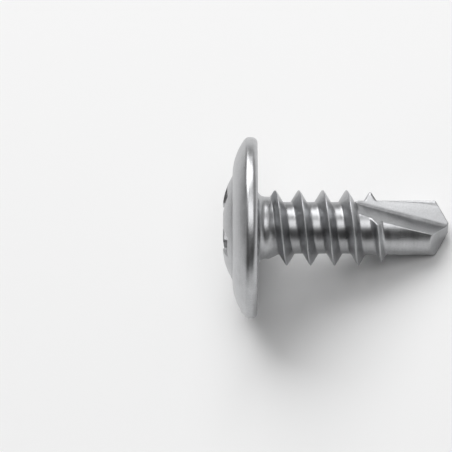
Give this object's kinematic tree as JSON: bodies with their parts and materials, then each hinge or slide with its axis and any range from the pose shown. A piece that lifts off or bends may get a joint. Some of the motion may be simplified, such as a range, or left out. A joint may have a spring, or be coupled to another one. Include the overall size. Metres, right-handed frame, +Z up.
{
  "type": "self-drilling screw",
  "caption": "Short self-drilling sheet-metal screw with a wide flat-bearing wafer head, a cross recess, a sharp tapping thread and a fluted drill point.",
  "frame": {"origin": "on the floor under the middle of the screw's outline as it lies at rest", "axes": "+Z up; +X along the lying screw, from the head to the drill point, which is the lower end; the screw's own axis runs along (0.9256, 0, -0.3784)"},
  "size_m": [0.0142, 0.0114, 0.0107],
  "materials": {
    "zinc_steel": "bright zinc-plated carbon steel"
  },
  "bodies": {
    "root": {"screw": "zinc_steel"}
  },
  "joints": []
}
